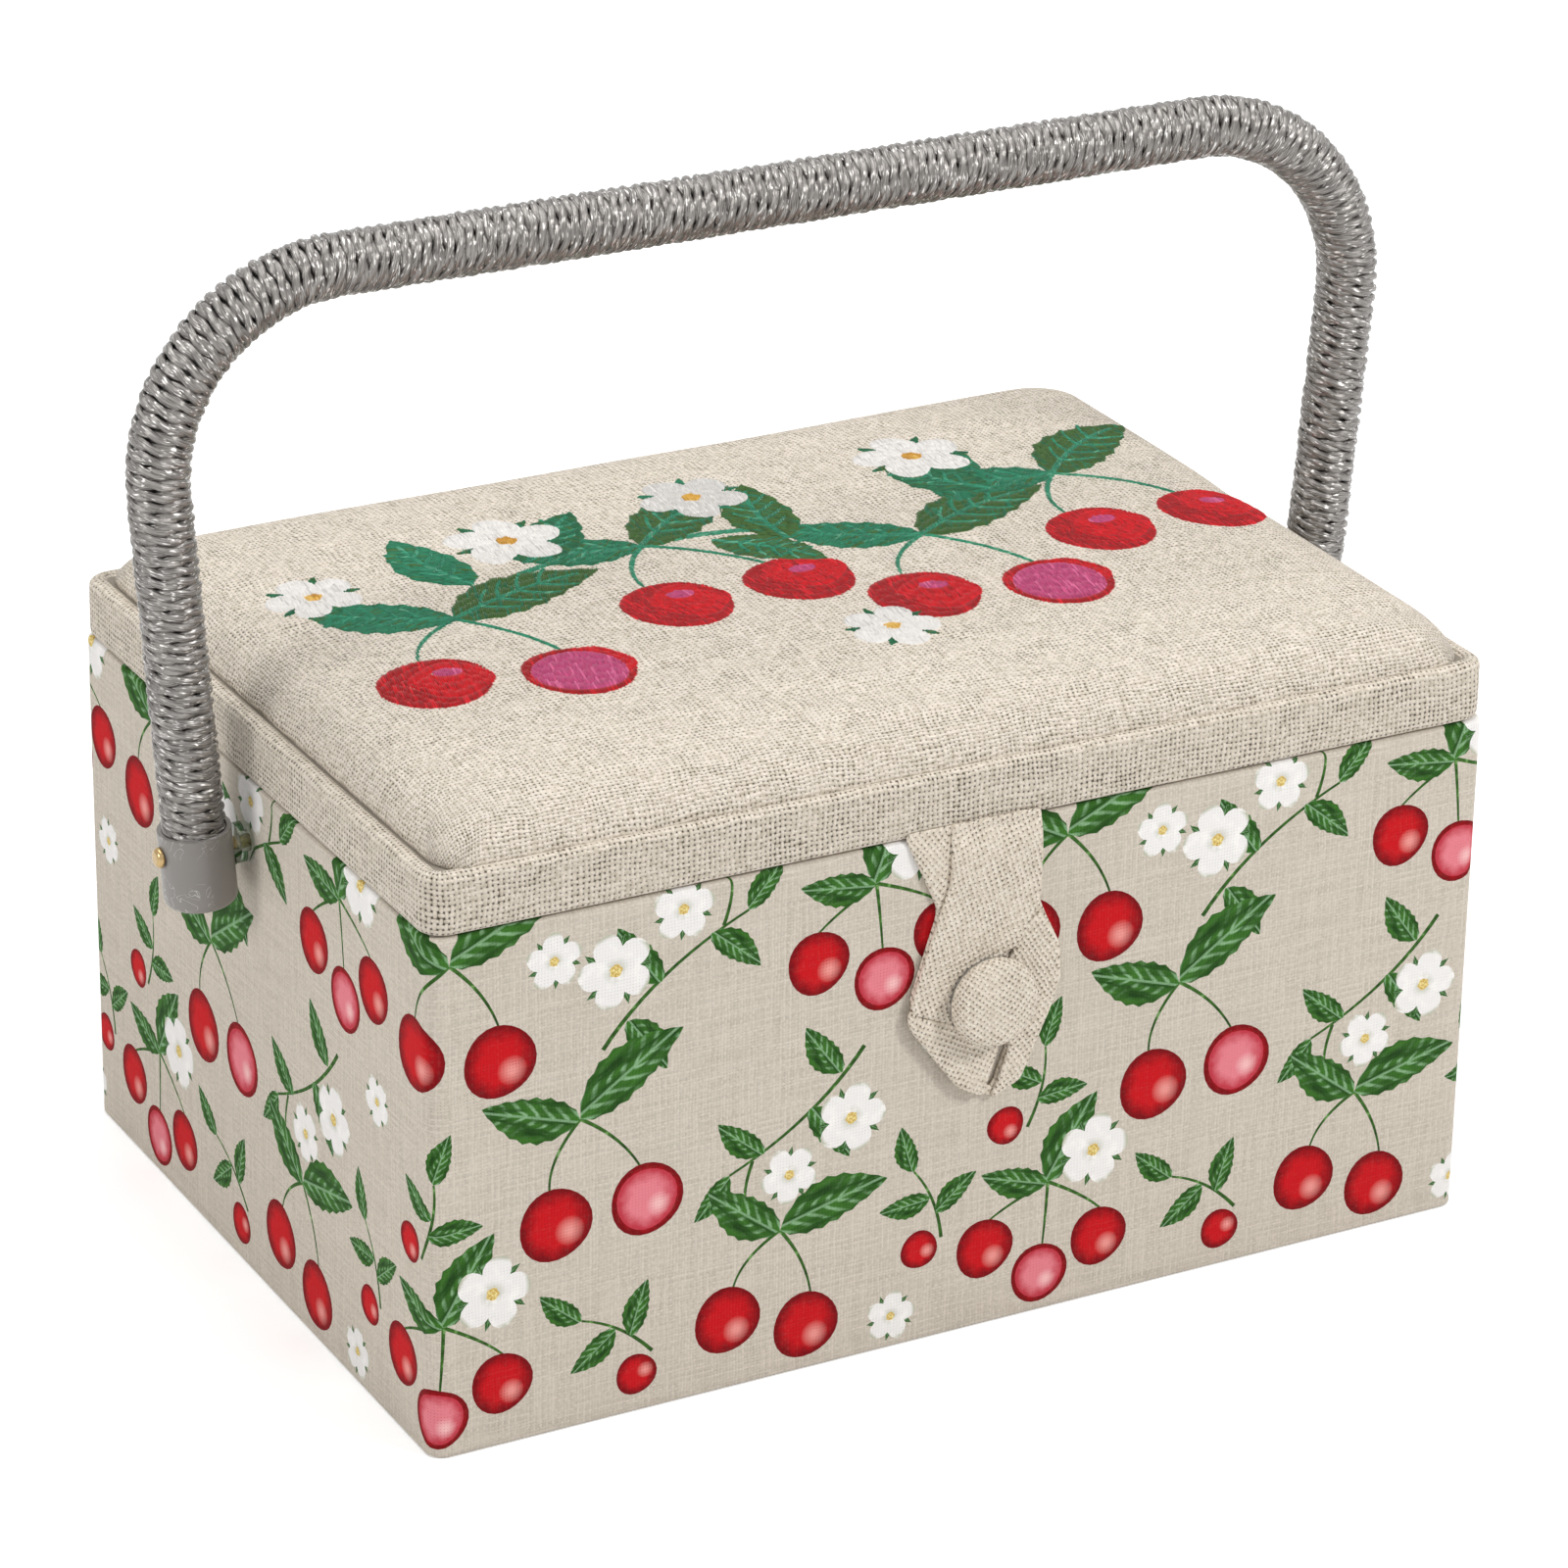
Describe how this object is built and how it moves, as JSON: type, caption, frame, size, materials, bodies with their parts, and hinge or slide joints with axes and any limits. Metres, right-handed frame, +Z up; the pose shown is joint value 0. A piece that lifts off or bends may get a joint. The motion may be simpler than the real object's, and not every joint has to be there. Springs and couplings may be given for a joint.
{
  "type": "sewing box",
  "caption": "Cloth-covered sewing box with a padded hinged lid, a cord-wound carrying handle, a loop and button closure and a lift-out tray inside.",
  "frame": {"origin": "middle of the underside, on the plane that the box stands on", "axes": "+X to the right across the front, +Y from the front to the hinged back, +Z up"},
  "size_m": [0.3106, 0.1941, 0.2428],
  "materials": {
    "base_cloth": "woven cotton",
    "board": "grey board",
    "lining_cloth": "plain cotton",
    "printed_cloth": "printed cotton",
    "linen": "open linen weave",
    "wadding": "wadding",
    "elastic": "ruched elastic",
    "ribbon": "woven ribbon",
    "core_plastic": "extruded",
    "cord": "twisted cord with a sheen",
    "cap_plastic": "moulded grey",
    "brass": "polished",
    "clear_plastic": "clear",
    "shell_metal": "pressed",
    "thread": "sewing thread",
    "tray_plastic": "clear moulded"
  },
  "bodies": {
    "box": {"base_cover": "base_cloth", "base_board": "board", "floor_lining": "lining_cloth", "front_board": "board", "back_board": "board", "left_board": "board", "right_board": "board", "body_cover": "printed_cloth", "wall_lining": "lining_cloth", "left_ledge": "lining_cloth", "right_ledge": "lining_cloth", "hinge_cloth": "linen", "lid_stay_left": "ribbon", "lid_stay_right": "ribbon", "left_spacer": "clear_plastic", "right_spacer": "clear_plastic", "left_pin_washer": "brass", "right_pin_washer": "brass", "button_cover": "linen", "button_shell": "shell_metal", "button_back": "shell_metal", "button_post": "thread", "button_washer": "core_plastic"},
    "lid": {"lid_frame_front": "board", "lid_frame_back": "board", "lid_frame_left": "board", "lid_frame_right": "board", "lid_board": "board", "lid_band": "linen", "lid_cover": "linen", "lid_filling": "wadding", "lid_lining": "lining_cloth", "lid_pocket": "lining_cloth", "pocket_elastic": "elastic", "pin_cushion": "linen"},
    "loop": {"closure_loop": "linen"},
    "handle": {"handle_core": "core_plastic", "handle_winding": "cord", "left_cap": "cap_plastic", "right_cap": "cap_plastic", "handle_pin_left": "brass", "handle_pin_right": "brass"},
    "tray": {"tray": "tray_plastic"}
  },
  "joints": [
    {"name": "lid_hinge", "type": "hinge", "parent": "box", "child": "lid", "pos_m": [0, 0.0928, 0.12215], "axis": [-1, 0, 0], "range_deg": [0, 95], "deforming": ["hinge_cloth", "lid_stay_left", "lid_stay_right"]},
    {"name": "handle_swing", "type": "hinge", "parent": "box", "child": "handle", "pos_m": [0, 0, 0.1073], "axis": [-1, 0, 0], "range_deg": [0, 95]},
    {"name": "loop_lift", "type": "hinge", "parent": "lid", "child": "loop", "pos_m": [0, -0.0927, 0.1222], "axis": [-1, 0, 0], "range_deg": [0, 100], "deforming": ["closure_loop"]},
    {"name": "tray_lift", "type": "slide", "parent": "box", "child": "tray", "axis": [0, 0, 1], "range_m": [0, 0.022]}
  ],
  "couplings": [
    {"joint": "handle_swing", "follows": "lid_hinge", "ratio": 1}
  ]
}
